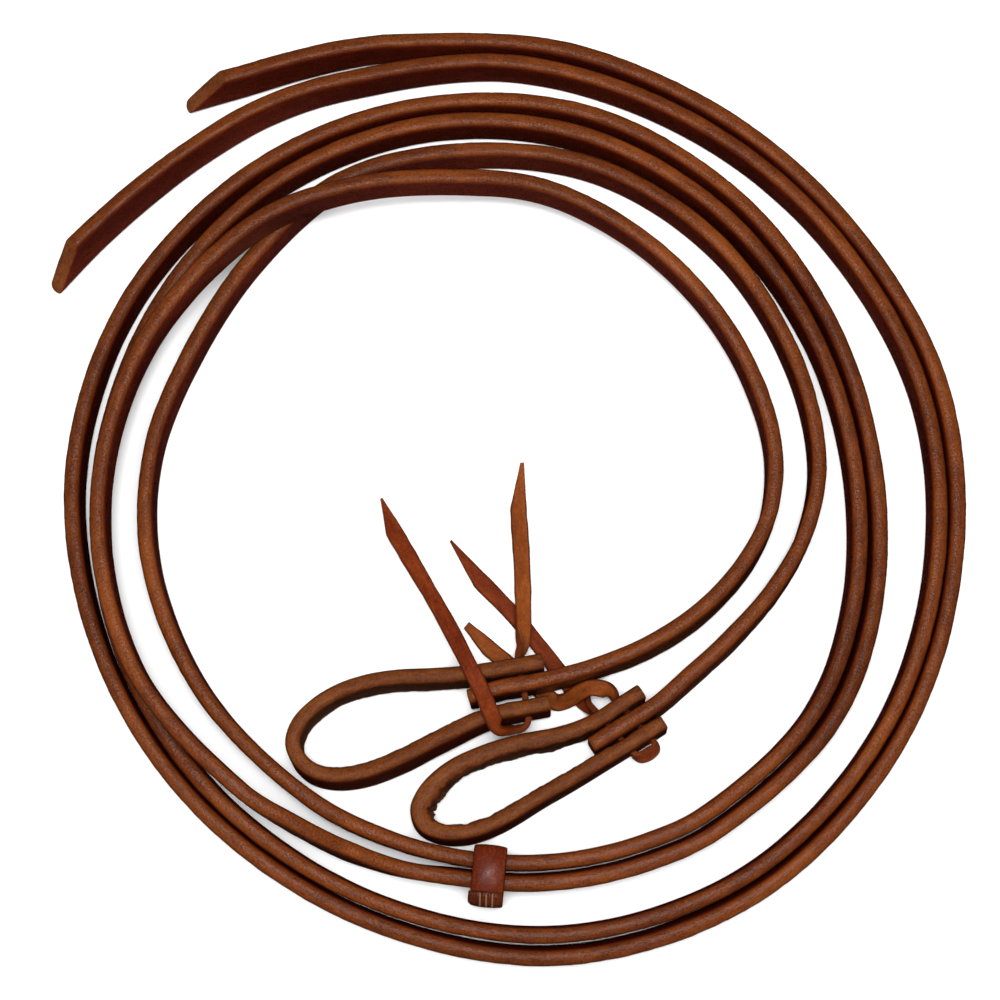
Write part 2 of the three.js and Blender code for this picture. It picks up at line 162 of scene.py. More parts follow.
NEAR_REIN_STATIONS = [
    *each(standing, [
        (-0.1501, 0.0718, 0, 11), (-0.1344, 0.0886, 0, 9), (-0.1182, 0.1034, 0, 8), (-0.0999, 0.1175, 0, 7),
        (-0.0804, 0.1291, 0, 6),
    ]),
    *each(coiled, [
        (112, 0.1483, 0, 4), (90, 0.1436, 0, 1), (66, 0.137), (42, 0.1336), (16, 0.1339), (-8, 0.1338),
        (-32, 0.1352, 0, 1), (-58, 0.1367, 0, 2), (-84, 0.1354, 0, 3), (-110, 0.1318, 0, 2),
        (-136, 0.131, 0, 1), (-160, 0.1315), (-184, 0.1311), (-208, 0.13), (-232, 0.1294), (-256, 0.1266),
        (-280, 0.1218), (-304, 0.1151), (-328, 0.1096), (-352, 0.1077, 0.0001), (-376, 0.1106, 0.0003, 1),
        (-396, 0.1142, 0.0016, 1),
    ]),
    *track(INNER_TRACK, 0.8),
    *each(coiled, [
        (-470, 0.1125, 0.002), (-484, 0.1129, 0.0006), (-508, 0.1145), (-530, 0.1164), (-548, 0.116),
        (-566, 0.1137), (-584, 0.1152), (-602, 0.1186), (-622, 0.1153), (-644, 0.1122), (-668, 0.1061),
        (-692, 0.1002), (-712, 0.0969),
    ]),
    *each(standing, [
        (0.0919, -0.009, 0, -2), (0.0816, -0.0276, 0, -4), (0.0667, -0.0444, 0, -5),
        (0.0547, -0.0553, 0, -5), (0.044, -0.0645, 0, -4), (0.0321, -0.0719, 0, -4),
        (0.0239, -0.0771, 0, -4),
    ]),
]

OFF_LOOP_STATIONS = each(standing, [
    (0.0088, -0.0513, 0.0027, -4), (0.0015, -0.0526, 0.0027, -4), (-0.005, -0.0537, 0.0027, -4),
    (-0.015, -0.0552, 0.0026, -4), (-0.026, -0.056, 0.0023, -4), (-0.0362, -0.0564, 0.002, -4),
    (-0.0459, -0.0578, 0.0016, -4), (-0.0548, -0.0607, 0.0012, -3), (-0.0618, -0.065, 0.0008, -3),
    (-0.0668, -0.0703, 0.0005, -3), (-0.0688, -0.076, 0.0004, -1), (-0.0672, -0.0813, 0.0004, 3),
    (-0.0627, -0.0853, 0.0004, 6), (-0.056, -0.0869, 0.0004, 7), (-0.0468, -0.0858, 0.0006, 8),
    (-0.0355, -0.0816, 0.0012, 8), (-0.0232, -0.0754, 0.002, 7), (-0.011, -0.0695, 0.0026, 6),
    (-0.0047, -0.0674, 0.0027, 5), (0.0015, -0.0661, 0.0027, 4), (0.0108, -0.0644, 0.0027, 4),
])

NEAR_LOOP_STATIONS = each(standing, [
    (0.0397, -0.0603, 0, -4), (0.0331, -0.0646, 0, -4), (0.0268, -0.0687, 0, -4), (0.0201, -0.072, 0, -4),
    (0.0129, -0.0741, 0, -3), (0.0017, -0.0762, 0, -3), (-0.0053, -0.0781, 0, -3),
    (-0.0118, -0.0805, 0, -3), (-0.018, -0.0834, 0, -3), (-0.0232, -0.087, 0, -3),
    (-0.0277, -0.0917, 0, -2), (-0.0301, -0.0968, 0, 1), (-0.0284, -0.1014, 0, 3), (-0.0233, -0.1039, 0, 5),
    (-0.0171, -0.1043, 0, 6), (-0.0107, -0.103, 0, 6), (-0.0044, -0.1003, 0, 6), (0.0078, -0.0931, 0, 5),
    (0.0202, -0.086, 0, 4), (0.0264, -0.0822, 0, 4), (0.0362, -0.0763, 0, 3), (0.0464, -0.0698, 0, 3),
])

OFF_THONG_STATIONS = [
    (0.0006, 0.0144, 0.0014, -90), (0.0012, -0.001, 0.002, -90), (0.0022, -0.0172, 0.0034, -90),
    (0.0026, -0.0302, 0.005, -90), (0.0026, -0.0395, 0.007, -75), (0.0022, -0.0455, 0.0092, -30),
    tied(OFF_TIE, 0, -0.0095, -2),
    tied(OFF_TIE, 0, 0),
    tied(OFF_TIE, 0, 0.0092),
    (0.0034, -0.0704, 0.0107, 3), (0.0016, -0.0713, 0.011, 15), (-0.001, -0.0718, 0.0128, 18),
    (-0.0035, -0.0722, 0.0162, 25), (-0.0056, -0.0716, 0.02, 45), (-0.0074, -0.0679, 0.0218, 80),
    (-0.0102, -0.061, 0.0209, 90), (-0.0144, -0.0524, 0.02, 90), (-0.0218, -0.0377, 0.0148, 90),
    (-0.0329, -0.018, 0.0084, 90), (-0.04, -0.0055, 0.0038, 90), (-0.0443, 0.0018, 0.0014, 90),
]

NEAR_THONG_STATIONS = [
    (-0.0219, -0.0121, 0.0013, 90), (-0.011, -0.0236, 0.0013, 90), (0.0001, -0.0352, 0.0013, 90),
    (0.008, -0.0448, 0.0013, 90), (0.0143, -0.053, 0.0013, 90), (0.0189, -0.059, 0.0014, 88),
    (0.0219, -0.0624, 0.0032, 60), (0.0239, -0.0646, 0.0064, 10),
    tied(NEAR_TIE, -0.0039, -0.0088),
    tied(NEAR_TIE, -0.0039, 0),
    tied(NEAR_TIE, -0.0039, 0.0082),
    tied(NEAR_TIE, -0.0038, 0.0095, 10),
    tied(NEAR_TIE, -0.0027, 0.0107, 30),
    tied(NEAR_TIE, -0.0003, 0.0111, 38),
    tied(NEAR_TIE, 0.0021, 0.0107, 30),
    tied(NEAR_TIE, 0.0032, 0.0095, 10),
    tied(NEAR_TIE, 0.0033, 0.0082),
    tied(NEAR_TIE, 0.0033, 0),
    tied(NEAR_TIE, 0.0033, -0.0088),
    (0.0302, -0.0602, 0.0089, -28), (0.0274, -0.0589, 0.0102, -80), (0.0236, -0.0586, 0.01, -90),
    (0.0204, -0.0597, 0.008, -85), (0.0178, -0.0612, 0.0052, -70), (0.0154, -0.0622, 0.0028, -70),
    (0.0132, -0.0624, 0.0015, -88), (0.0103, -0.0606, 0.0013, -90), (0.005, -0.0562, 0.0013, -90),
    (-0.0015, -0.0508, 0.0013, -90), (-0.0088, -0.0447, 0.0013, -90), (-0.0161, -0.0387, 0.0013, -90),
]


# Lines
def unit(vectors):
    return vectors / np.linalg.norm(vectors, axis=-1, keepdims=True)


def flowing(rows, per_span=60):
    """A centripetal Catmull-Rom curve through rows of x, y, z and lean, with the lean shared out evenly."""
    rows = np.array(rows, float)
    points = np.vstack([2 * rows[0] - rows[1], rows, 2 * rows[-1] - rows[-2]])[:, :3]
    share = np.linspace(0, 1, per_span, endpoint=False)[:, None]
    spans = []
    for i in range(len(rows) - 1):
        p0, p1, p2, p3 = points[i : i + 4]
        d0, d1, d2 = (math.sqrt(np.linalg.norm(b - a)) for a, b in ((p0, p1), (p1, p2), (p2, p3)))
        leave = ((p1 - p0) / d0 - (p2 - p0) / (d0 + d1) + (p2 - p1) / d1) * d1
        arrive = ((p2 - p1) / d1 - (p3 - p1) / (d1 + d2) + (p3 - p2) / d2) * d1
        square = -3 * p1 + 3 * p2 - 2 * leave - arrive
        cube = 2 * p1 - 2 * p2 + leave + arrive
        place = p1 + leave * share + square * share**2 + cube * share**3
        lean = rows[i, 3] + (rows[i + 1, 3] - rows[i, 3]) * share
        spans.append(np.hstack([place, lean]))
    return np.vstack([*spans, rows[-1:]])


class Line:
    """A strap's centreline and the directions that carry its section: across its width, and out through
    its flesh side."""

    def __init__(self, points, across):
        steps = np.linalg.norm(np.diff(points, axis=0), axis=1)
        self.reach = np.concatenate([[0], np.cumsum(steps)])
        self.length = self.reach[-1]
        self.points = points
        tangents = unit(np.gradient(points, self.reach, axis=0))
        square = across - tangents * np.sum(across * tangents, axis=1, keepdims=True)
        self.across = unit(square)
        self.normals = np.cross(self.across, tangents)

    def at(self, along):
        tables = (self.points, self.normals, self.across)
        return [np.stack([np.interp(along, self.reach, t[:, k]) for k in range(3)], -1) for t in tables]


def strap_line(stations):
    rows = flowing(stations)
    points = rows[:, :3] + COIL_SHIFT
    tangents = unit(np.gradient(points, axis=0))
    left = unit(np.stack([-tangents[:, 1], tangents[:, 0], 0 * tangents[:, 0]], -1))
    up = np.cross(tangents, left)
    lean = np.radians(rows[:, 3:])
    return Line(points, up * np.cos(lean) + left * np.sin(lean))


# Noise along a strap, from -1 to 1
def wobble(place, pitch, seed):
    values = np.random.default_rng(seed).uniform(-1, 1, 8192)
    cell = np.floor(place / pitch).astype(int)
    share = place / pitch - cell
    share = share * share * (3 - 2 * share)
    return values[cell % 8192] * (1 - share) + values[(cell + 1) % 8192] * share


def patches(first, second, pitch, seed):
    values = np.random.default_rng(seed).uniform(-1, 1, (512, 512))
    cells, shares = [], []
    for place in (first / pitch, second / pitch):
        cell = np.floor(place).astype(int)
        share = place - cell
        cells.append(cell)
        shares.append(share * share * (3 - 2 * share))
    (i, j), (s, t) = cells, shares
    pick = lambda di, dj: values[(i + di) % 512, (j + dj) % 512]
    low = pick(0, 0) * (1 - s) + pick(1, 0) * s
    high = pick(0, 1) * (1 - s) + pick(1, 1) * s
    return low * (1 - t) + high * t


# Sections: closed outlines through the thickness (grain side negative) and across the width
def outline(thickness, width, edge, roundness, face_steps, edge_steps):
    a, b = thickness / 2, width / 2
    turn = np.linspace(0, math.pi, edge_steps + 1)
    swell = lambda x: np.sign(x) * np.abs(x) ** (2 / roundness)
    v_edge = a * swell(np.cos(turn))
    u_edge = b - edge + edge * swell(np.maximum(np.sin(turn), 0))
    u_face = np.linspace(edge - b, b - edge, face_steps + 1)[1:-1]
    v_face = np.full(len(u_face), a)
    v = np.concatenate([v_face, v_edge, -v_face, -v_edge])
    u = np.concatenate([u_face, u_edge, -u_face, -u_edge])
    return v, u


def sweep(name, line, section, step, shape, edge, round_off=0.00035):
    """A closed strap along a line. shape(along, v, u) bends the straight strap's points before it is laid."""
    v0, u0 = section
    half = (np.abs(v0).max(), np.abs(u0).max())
    count = round(line.length / step)
    along = np.linspace(round_off, line.length - round_off, count)
    along = np.concatenate([[0], along, [line.length]])
    inset = np.zeros(len(along))
    inset[[0, -1]] = round_off
    s = np.repeat(along[:, None], len(v0), axis=1)
    v = v0 * (1 - inset[:, None] / half[0])
    u = u0 * (1 - inset[:, None] / half[1])
    caps = np.array([[along[0]], [along[-1]]])
    zero = np.zeros((2, 1))
    rings, points = s.shape
    s, v, u = (np.concatenate([x.ravel(), y.ravel()]) for x, y in ((s, caps), (v, zero), (u, zero)))
    flat_s, flat_v, flat_u = shape(s, v, u)
    centre, normal, across = line.at(flat_s)
    vertices = centre + normal * flat_v[:, None] + across * flat_u[:, None]

    i, j = np.meshgrid(np.arange(rings - 1), np.arange(points), indexing="ij")
    k = (j + 1) % points
    here, onward = i * points, (i + 1) * points
    quads = np.stack([here + j, here + k, onward + k, onward + j], -1).reshape(-1, 4)
    first, last = rings * points, rings * points + 1
    ring = np.arange(points)
    after = (ring + 1) % points
    start = np.stack([np.full(points, first), after, ring], -1)
    below = (rings - 1) * points
    end = np.stack([np.full(points, last), ring + below, after + below], -1)
    mesh = bpy.data.meshes.new(name)
    mesh.from_pydata(vertices.tolist(), [], quads.tolist() + start.tolist() + end.tolist())
    mesh.shade_smooth()

    cut = np.zeros(len(s))
    cut[:points] = 1
    cut[below:] = 1
    rim = np.clip((np.abs(u) - (half[1] - edge)) / edge, 0, 1)
    put(mesh, "place", np.stack([flat_s, flat_u, flat_v], -1) * 1000)
    put(mesh, "side", v / half[0])
    put(mesh, "rim", rim)
    put(mesh, "cut", cut)
    piece = bpy.data.objects.new(name, mesh)
    bpy.context.scene.collection.objects.link(piece)
    return piece


def put(mesh, name, values):
    """Stores a value at each vertex for the material to read."""
    values = np.asarray(values, np.float32)
    kind, field = ("FLOAT", "value") if values.ndim == 1 else ("FLOAT_VECTOR", "vector")
    attribute = mesh.attributes.new(name, kind, "POINT")
    attribute.data.foreach_set(field, values.ravel())


# Shapes: what a straight strap's points do before it is laid along its line
def hand_cut(seed, fuzz, ragged=()):
    """Gentle unevenness: the thickness and both edges wander, and the flesh side is rough. Each ragged
    stretch, from one place along the strap to another, stands out from the flesh side by up to a height."""
    def shape(s, v, u):
        side, half = v / (STRAP_THICKNESS / 2), STRAP_WIDTH / 2
        v = v * (1 + 0.035 * wobble(s, 0.031, seed) + 0.02 * wobble(s, 0.009, seed + 1))
        upper = 0.00013 * wobble(s, 0.023, seed + 2) + 0.00007 * wobble(s, 0.006, seed + 3)
        lower = 0.00010 * wobble(s, 0.027, seed + 4)
        u = u + np.where(u > 0, upper, lower) * np.abs(u) / half
        rough = patches(s, u, 0.0026, seed + 5) + 0.6 * patches(s, u, 0.0011, seed + 6)
        v = v + fuzz * rough * np.clip(side, 0, 1) ** 2
        for start, stop, height in ragged:
            inside = np.clip((s - start) / 0.006, 0, 1) * np.clip((stop - s) / 0.006, 0, 1)
            torn = 0.5 + 0.5 * patches(s, u, 0.0052, seed + 7) + 0.3 * patches(s, u, 0.0017, seed + 8)
            v = v + height * inside * np.clip(torn, 0, 1) * np.clip(side, 0, 1) ** 2
        return s, v, u

    return shape


def slanted(shape):
    """The free end is cut on a slant that leaves the lower edge the longer one."""
    def cut(s, v, u):
        fade = np.clip(1 - s / SLANT_FADE, 0, 1)
        reach = (u + STRAP_WIDTH / 2) * math.tan(END_CUT_ANGLE) * fade
        s2, v2, u2 = shape(s, v, u)
        return s2 + reach, v2, u2

    return cut


def tapered(seed, length, first, last):
    """A thong's strip, a little wider between its slots, with each tail trimmed to a point by a slanting cut
    on one side. first and last are that side, the length of the cut and the width left at the tip."""
    def shape(s, v, u):
        half = THONG_WIDTH / 2
        v = v * (1 + 0.07 * wobble(s, 0.013, seed) + 0.04 * wobble(s, 0.004, seed + 1))
        u = u * (1.1 + 0.06 * wobble(s, 0.011, seed + 2) + 0.04 * wobble(s, 0.0035, seed + 3))
        for far, (side, reach, tip) in ((s, first), (length - s, last)):
            share = np.clip(far / reach, 0, 1)
            width = tip + (THONG_WIDTH - tip) * share
            u = ((u * side + half) / THONG_WIDTH * width - half) * side
            v = v * (0.75 + 0.25 * share)
        return s, v, u

    return shape


# Slots, punched through the straps where the thongs pass
def rounded_block(name, tie, along):
    layers, back = tie_axes(tie)
    turned = (back[1], -back[0])
    middle = [c + along * d for c, d in zip(tie["centre"], layers)]
    squarish = lambda x: math.copysign(abs(x) ** 0.5, x)
    steps = 32
    ring = []
    for k in range(steps):
        angle = 2 * math.pi * k / steps
        wide, high = squarish(math.cos(angle)), squarish(math.sin(angle))
        ring.append((wide * SLOT_WIDTH / 2, high * SLOT_HEIGHT / 2))
    vertices = []
    for reach in (-SLOT_REACH / 2, SLOT_REACH / 2):
        for wide, high in ring:
            x = middle[0] + wide * turned[0] + reach * back[0] + COIL_SHIFT[0]
            y = middle[1] + wide * turned[1] + reach * back[1] + COIL_SHIFT[1]
            vertices.append((x, y, tie["height"] + high))
    n = steps
    faces = [tuple(range(n)), tuple(reversed(range(n, 2 * n)))]
    faces += [(k, n + k, n + (k + 1) % n, (k + 1) % n) for k in range(n)]
    mesh = bpy.data.meshes.new(name)
    mesh.from_pydata(vertices, [], faces)
    block = bpy.data.objects.new(name, mesh)
    bpy.context.scene.collection.objects.link(block)
    return block


def punched(strap, tie):
    known = read(strap.data)
    tree = kdtree.KDTree(len(strap.data.vertices))
    for vertex in strap.data.vertices:
        tree.insert(vertex.co, vertex.index)
    tree.balance()
    blocks = [rounded_block("slot", tie, along) for along in tie["slots"]]
    for block in blocks:
        cut = strap.modifiers.new("slot", "BOOLEAN")
        cut.object = block
        cut.operation = "DIFFERENCE"
        cut.solver = "EXACT"
    bpy.context.view_layer.update()
    mesh = bpy.data.meshes.new_from_object(strap.evaluated_get(bpy.context.evaluated_depsgraph_get()))
    strap.modifiers.clear()
    strap.data = mesh
    nearest = [tree.find(vertex.co) for vertex in mesh.vertices]
    picks = np.array([found[1] for found in nearest])
    gaps = np.array([found[2] for found in nearest])
    for name, values in known.items():
        values = values[picks]
        if name == "cut":
            values = np.where(gaps > 1e-6, 1.0, values)
        if name in mesh.attributes:
            mesh.attributes.remove(mesh.attributes[name])
        put(mesh, name, values)
    for block in blocks:
        bpy.data.objects.remove(block)


def read(mesh):
    found = {}
    for name, size in (("place", 3), ("side", 1), ("rim", 1), ("cut", 1)):
        values = np.zeros(len(mesh.vertices) * size, np.float32)
        mesh.attributes[name].data.foreach_get("vector" if size == 3 else "value", values)
        found[name] = values.reshape(-1, 3) if size == 3 else values
    return found


# Materials
def shade(r, g, b):
    """A colour as a display shows it, turned to linear light."""
    linear = lambda x: x / 12.92 if x <= 0.04045 else ((x + 0.055) / 1.055) ** 2.4
    return (linear(r / 255), linear(g / 255), linear(b / 255), 1)


class Graph:
    """A material being wired up."""

    def __init__(self, name):
        self.material = bpy.data.materials.new(name)
        self.material.use_nodes = True
        self.tree = self.material.node_tree
        self.tree.nodes.clear()
        output = self.tree.nodes.new("ShaderNodeOutputMaterial")
        self.shader = self.tree.nodes.new("ShaderNodeBsdfPrincipled")
        self.tree.links.new(self.shader.outputs[0], output.inputs["Surface"])

    def node(self, kind, inputs=(), **settings):
        made = self.tree.nodes.new("ShaderNode" + kind)
        for key, value in settings.items():
            setattr(made, key, value)
        for key, value in dict(inputs).items():
            self.feed(made.inputs[key], value)
        return made

    def feed(self, socket, value):
        if isinstance(value, bpy.types.NodeSocket):
            self.tree.links.new(value, socket)
        else:
            socket.default_value = value

    def attribute(self, name, output="Fac"):
        return self.node("Attribute", attribute_name=name, attribute_type="GEOMETRY").outputs[output]

    def math(self, operation, a, b=0.0):
        return self.node("Math", {0: a, 1: b}, operation=operation).outputs[0]

    def ease(self, value, low, high):
        """0 below low, 1 above high and smooth between them."""
        inputs = {"Value": value, "From Min": low, "From Max": high}
        return self.node("MapRange", inputs, interpolation_type="SMOOTHSTEP").outputs[0]

    def mix(self, share, a, b):
        made = self.node("Mix", data_type="RGBA")
        for key, value in ((0, share), (6, a), (7, b)):
            self.feed(made.inputs[key], value)
        return made.outputs[2]

    def stretched(self, vector, *factors):
        return self.node("VectorMath", {0: vector, 1: factors}, operation="MULTIPLY").outputs[0]

    def noise(self, vector, scale, detail=2.0, roughness=0.5):
        inputs = {"Vector": vector, "Scale": scale, "Detail": detail, "Roughness": roughness}
        return self.node("TexNoise", inputs).outputs["Fac"]

    def ramp(self, value, *stops):
        """Colours along a scale from 0 to 1, each stop a place and a colour."""
        made = self.node("ValToRGB", {"Fac": value})
        elements = made.color_ramp.elements
        while len(elements) < len(stops):
            elements.new(0.5)
        for element, (place, colour) in zip(elements, stops):
            element.position = place
            element.color = colour
        return made.outputs["Color"]


def leather(name, grain, flesh, edge, raw, roughness, grit, gloss, lap=None):
    """Bridle leather by its surfaces: grain, flesh, edge, raw and lap (a lapped end) are each a dark, a
    middle and a light colour. grain's dark colour is also painted as shade along the corners where the
    edges round over. grit is how rough the surface is, and gloss how strongly it reflects."""
    g = Graph(name)
    place = g.attribute("place", "Vector")
    side = g.attribute("side")
    rim = g.attribute("rim")
    cut = g.attribute("cut")
    broad = g.noise(g.stretched(place, 0.16, 0.5, 0.5), 0.11, 2.0, 0.5)
    middle = g.noise(g.stretched(place, 0.3, 1.0, 1.0), 0.7, 4.0, 0.6)
    fine = g.noise(place, 1.5, 3.0, 0.65)
    mottle = g.math("ADD", g.math("MULTIPLY", broad, 0.4), g.math("MULTIPLY", middle, 0.3))
    mottle = g.math("ADD", mottle, g.math("MULTIPLY", fine, 0.3))
    spread = lambda colours: g.ramp(mottle, (0.39, colours[0]), (0.5, colours[1]), (0.61, colours[2]))
    face = g.mix(g.ease(side, -0.3, 0.3), spread(grain), spread(flesh))
    colour = g.mix(g.ease(rim, 0.25, 0.8), face, spread(edge))
    # Painted shade: the corners where each edge rounds over into the faces are darkened towards grain's dark
    # colour
    painted_corner_shade = g.math("MULTIPLY", g.ease(g.math("ABSOLUTE", side), 0.66, 0.97), g.ease(rim, 0.02, 0.5))
    colour = g.mix(g.math("MULTIPLY", painted_corner_shade, 0.7), colour, grain[0])
    colour = g.mix(g.math("MULTIPLY", cut, 0.85), colour, spread(raw))
    if lap:
        colour = g.mix(g.math("MULTIPLY", g.attribute("lap"), 0.9), colour, spread(lap))
    g.feed(g.shader.inputs["Base Color"], colour)

    spans = {"Value": fine, "From Min": 0.3, "From Max": 0.7}
    spans |= {"To Min": roughness - 0.1, "To Max": roughness + 0.12}
    g.feed(g.shader.inputs["Roughness"], g.node("MapRange", spans).outputs[0])
    g.shader.inputs["Specular IOR Level"].default_value = gloss

    pebbles = g.noise(place, 1.25, 2.0, 0.5)
    fibres = g.noise(g.stretched(place, 0.3, 1.0, 1.0), 1.4, 3.0, 0.6)
    height = g.math("ADD", g.math("MULTIPLY", pebbles, 0.75), g.math("MULTIPLY", fibres, 0.25))
    bump = g.node("Bump", {"Height": height, "Strength": grit, "Distance": 0.0005})
    g.feed(g.shader.inputs["Normal"], bump.outputs[0])
    return g.material


def finish_in(piece, material):
    piece.data.materials.clear()
    piece.data.materials.append(material)


make_camera()

strap_section = outline(STRAP_THICKNESS, STRAP_WIDTH, EDGE_DEPTH, 2.4, 10, 14)
thong_section = outline(THONG_THICKNESS, THONG_WIDTH, THONG_EDGE, 2.8, 6, 6)

russet = leather(
    "rein_leather",
    grain=[shade(58, 15, 6), shade(74, 21, 9), shade(92, 30, 12)],
    flesh=[shade(54, 24, 11), shade(70, 32, 14), shade(88, 43, 20)],
    edge=[shade(60, 25, 8), shade(84, 38, 11), shade(104, 51, 15)],
    raw=[shade(74, 35, 12), shade(94, 48, 18), shade(112, 61, 25)],
    roughness=0.31, grit=0.55, gloss=0.24,
)
loop_leather = leather(
    "loop_leather",
    grain=[shade(50, 16, 8), shade(64, 22, 10), shade(78, 31, 13)],
    flesh=[shade(50, 26, 13), shade(66, 35, 18), shade(84, 47, 26)],
    edge=[shade(62, 27, 9), shade(85, 42, 14), shade(108, 58, 22)],
    raw=[shade(72, 38, 18), shade(94, 54, 27), shade(116, 70, 40)],
    roughness=0.38, grit=0.55, gloss=0.16,
)
latigo = leather(
    "thong_latigo",
    grain=[shade(70, 22, 7), shade(90, 34, 11), shade(108, 46, 16)],
    flesh=[shade(84, 38, 12), shade(104, 50, 17), shade(120, 64, 26)],
    edge=[shade(60, 22, 9), shade(78, 32, 12), shade(92, 43, 17)],
    raw=[shade(84, 42, 18), shade(102, 56, 26), shade(118, 72, 40)],
    roughness=0.5, grit=0.5, gloss=0.08,
)
chestnut = leather(
    "keeper_leather",
    grain=[shade(64, 18, 5), shade(76, 25, 7), shade(88, 33, 11)],
    flesh=[shade(50, 24, 13), shade(62, 30, 17), shade(76, 40, 22)],
    edge=[shade(34, 12, 6), shade(46, 18, 9), shade(58, 26, 13)],
    raw=[shade(34, 13, 7), shade(46, 20, 10), shade(60, 28, 14)],
    lap=[shade(36, 13, 6), shade(50, 19, 8), shade(64, 27, 12)],
    roughness=0.25, grit=0.1, gloss=0.12,
)


def make_rein(name, stations, tie, seed):
    line = strap_line(stations)
    shape = slanted(hand_cut(seed, REIN_FUZZ))
    piece = sweep(name + "_strap", line, strap_section, REIN_STEP, shape, EDGE_DEPTH)
    punched(piece, tie)
    finish_in(piece, russet)
    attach(piece, "coil")
    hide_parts(name)
    points = line.at(np.arange(0.008, line.length, 0.004))[0]


def make_loop(name, stations, tie, seed, fuzz, ragged=()):
    line = strap_line(stations)
    shape = hand_cut(seed, fuzz, ragged)
    piece = sweep(name + "_strap", line, strap_section, LOOP_STEP, shape, EDGE_DEPTH)
    punched(piece, tie)
    finish_in(piece, loop_leather)
    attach(piece, "coil")
    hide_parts(name)


def make_thong(name, stations, seed, first, last):
    line = strap_line(stations)
    shape = tapered(seed, line.length, first, last)
    piece = sweep(name + "_strip", line, thong_section, THONG_STEP, shape, THONG_EDGE, 0.0002)
    finish_in(piece, latigo)
    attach(piece, "coil")
    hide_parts(name)


make_rein("off_rein", OFF_REIN_STATIONS, OFF_TIE, 100)
make_rein("near_rein", NEAR_REIN_STATIONS, NEAR_TIE, 200)
make_loop("off_water_loop", OFF_LOOP_STATIONS, OFF_TIE, 300, 0.00015)
ragged = [(0.026, 0.072, 0.0009), (0.066, 0.092, 0.0026)]
make_loop("near_water_loop", NEAR_LOOP_STATIONS, NEAR_TIE, 400, 0.00025, ragged)
make_thong("off_tie_thong", OFF_THONG_STATIONS, 500, (1, 0.015, 0.0012), (1, 0.012, 0.0008))
make_thong("near_tie_thong", NEAR_THONG_STATIONS, 600, (-1, 0.0156, 0.0008), (-1, 0.010, 0.0024))


# Keeper: one strip wound round both strands. It starts low on the outer side, goes once round and laps over
# its own start, up the outer side and over the shoulder. In its own frame x is outward, y along the
# strands and z up. CORNER and HEEL are the radii it turns on, the lap's last LAP_LENGTH widens over the strip
# under it and its last SKIVED is pared thin.
SLEEVE_INNER = INNER_TRACK - STRAP_THICKNESS / 2 - 0.0006
SLEEVE_OUTER = OUTER_TRACK + STRAP_THICKNESS / 2 + 0.0023
SLEEVE_BOTTOM = TRACK_BASE - 0.00105
SLEEVE_TOP = TRACK_BASE + STRAP_WIDTH + 0.00075
CORNER = 0.0011
HEEL = 0.0018
LAP_START = 0.006
LAP_END = 0.0011
BEND = CORNER + KEEPER_WALL
LAP_LENGTH = 0.0065
SKIVED = 0.004
STITCH_SPREAD = 0.00028
GROOVE_SPREAD = 0.00035
STITCH_REACH = (math.radians(94), math.radians(12))
PLY_RADIUS = 0.00021
PLY_TIP = 0.0001
PLY_OFFSET = 0.00013
PLY_PITCH = 0.0022


def keeper_axes():
    turned = KEEPER_BEARING
    outward = np.array([math.cos(turned), math.sin(turned), 0])
    onward = np.array([-math.sin(turned), math.cos(turned), 0])
    centre = np.array([KEEPER_CENTRE[0], KEEPER_CENTRE[1], 0]) + COIL_SHIFT
    return centre, outward, onward


def arc(centre, radius, start, stop, steps=14):
    return [
        (centre[0] + radius * math.cos(math.radians(a)), centre[1] + radius * math.sin(math.radians(a)))
        for a in np.linspace(start, stop, steps)
    ]


def straight(first, last, arch=(0, 0), steps=16):
    rows = []
    for k in np.linspace(0, 1, steps + 2)[1:-1]:
        bow = 4 * k * (1 - k)
        rows.append(tuple(a + (b - a) * k + bow * c for a, b, c in zip(first, last, arch)))
    return rows


def keeper_route():
    w, h = KEEPER_WALL, KEEPER_WALL / 2
    r = CORNER
    left, right = SLEEVE_INNER - h, SLEEVE_OUTER + h
    bottom, top = SLEEVE_BOTTOM - h, SLEEVE_TOP + h
    lapped = right + w
    rows = [(right, LAP_START)]
    rows += straight(rows[-1], (right, top - r))
    rows += arc((right - r, top - r), r, 0, 90)
    rows += straight(rows[-1], (left + r, top), (0, 0.0006))
    rows += arc((left + r, top - r), r, 90, 180)
    rows += straight(rows[-1], (left, bottom + r))
    rows += arc((left + r, bottom + r), r, 180, 270)
    rows += straight(rows[-1], (lapped - HEEL, bottom))
    rows += arc((lapped - HEEL, bottom + HEEL), HEEL, 270, 360)
    rows += straight(rows[-1], (lapped, top - r))
    rows += arc((right - r, top - r), r + w, 0, 90)
    rows += straight(rows[-1], (right - r - LAP_END, top + w - 0.0001), steps=3)
    return np.array(rows)


